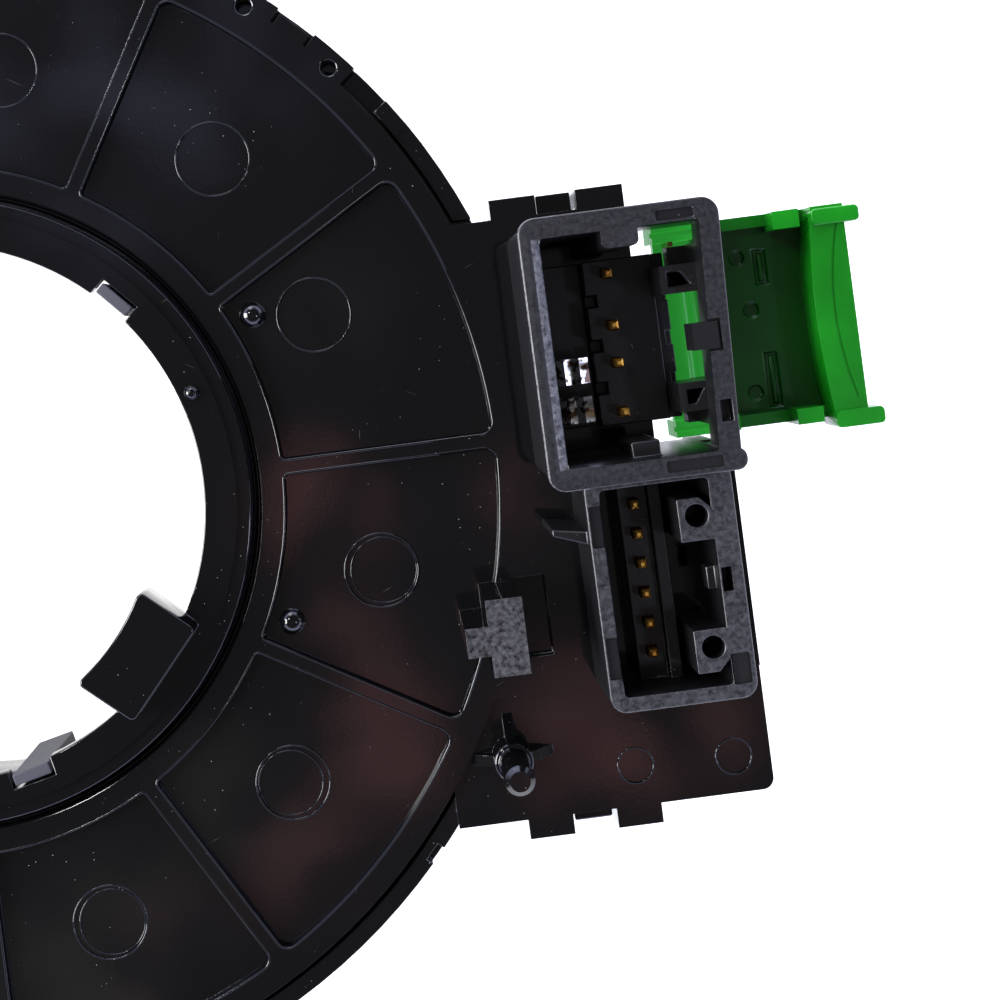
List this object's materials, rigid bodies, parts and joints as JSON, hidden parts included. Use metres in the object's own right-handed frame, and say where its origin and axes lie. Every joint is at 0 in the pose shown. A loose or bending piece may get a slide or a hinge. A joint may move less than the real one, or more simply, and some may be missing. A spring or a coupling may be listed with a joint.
{
  "type": "steering clock spring",
  "caption": "Ring-shaped rotary connector for a steering column, with a ribbed rear cover, a drive lug in the bore, two column-side sockets, a green slide lock and a locating pin.",
  "frame": {"origin": "on the steering axis, in the plane of the wheel-side collar's end, which it rests on", "axes": "+Z along the steering axis towards the column, +X towards the block with the column-side sockets"},
  "size_m": [0.1327, 0.1048, 0.042],
  "materials": {
    "black_gloss": "moulded gloss",
    "black_matte": "moulded satin",
    "pale_grey": "moulded satin",
    "green": "moulded gloss",
    "yellow": "moulded satin",
    "brass": "stamped",
    "gold_pin": "gold plated",
    "spring_steel": "bright",
    "film": "laminated film",
    "slip_sheet": "smooth sheet"
  },
  "bodies": {
    "stator": {"stator_case": "black_gloss", "rear_cover": "black_gloss", "upper_socket_housing": "black_matte", "upper_terminal_block": "black_matte", "lower_socket_housing": "black_matte", "outer_cable_joint": "black_matte", "flat_cable": "film", "rear_slip_sheet": "slip_sheet", "upper_terminal_1": "gold_pin", "upper_terminal_2": "gold_pin", "upper_terminal_3": "gold_pin", "upper_terminal_4": "gold_pin", "lower_terminal_1": "gold_pin", "lower_terminal_2": "gold_pin", "lower_terminal_3": "gold_pin", "lower_terminal_4": "gold_pin", "lower_terminal_5": "gold_pin", "lower_terminal_6": "gold_pin", "shorting_clip_1": "spring_steel", "shorting_clip_2": "spring_steel"},
    "rotor": {"rotor_front": "black_gloss", "rotor_ring": "black_gloss", "cable_hub": "pale_grey", "inner_cable_joint": "black_matte", "front_slip_sheet": "slip_sheet", "wheel_airbag_socket": "yellow", "wheel_switch_socket": "black_matte", "wheel_airbag_terminal_1": "gold_pin", "wheel_airbag_terminal_2": "gold_pin", "wheel_airbag_terminal_3": "gold_pin", "wheel_airbag_terminal_4": "gold_pin", "wheel_switch_terminal_1": "gold_pin", "wheel_switch_terminal_2": "gold_pin", "wheel_switch_terminal_3": "gold_pin", "wheel_switch_terminal_4": "gold_pin", "wheel_switch_terminal_5": "gold_pin", "wheel_switch_terminal_6": "gold_pin"},
    "lock": {"slide_lock": "green", "lock_contact": "brass"}
  },
  "joints": [
    {"name": "rotor_turn", "type": "hinge", "parent": "stator", "child": "rotor", "pos_m": [0, 0, 0], "axis": [0, 0, 1], "range_deg": [-900, 900], "deforming": ["flat_cable"]},
    {"name": "lock_slide", "type": "slide", "parent": "stator", "child": "lock", "axis": [1, 0, 0], "range_m": [-0.008, 0]}
  ]
}
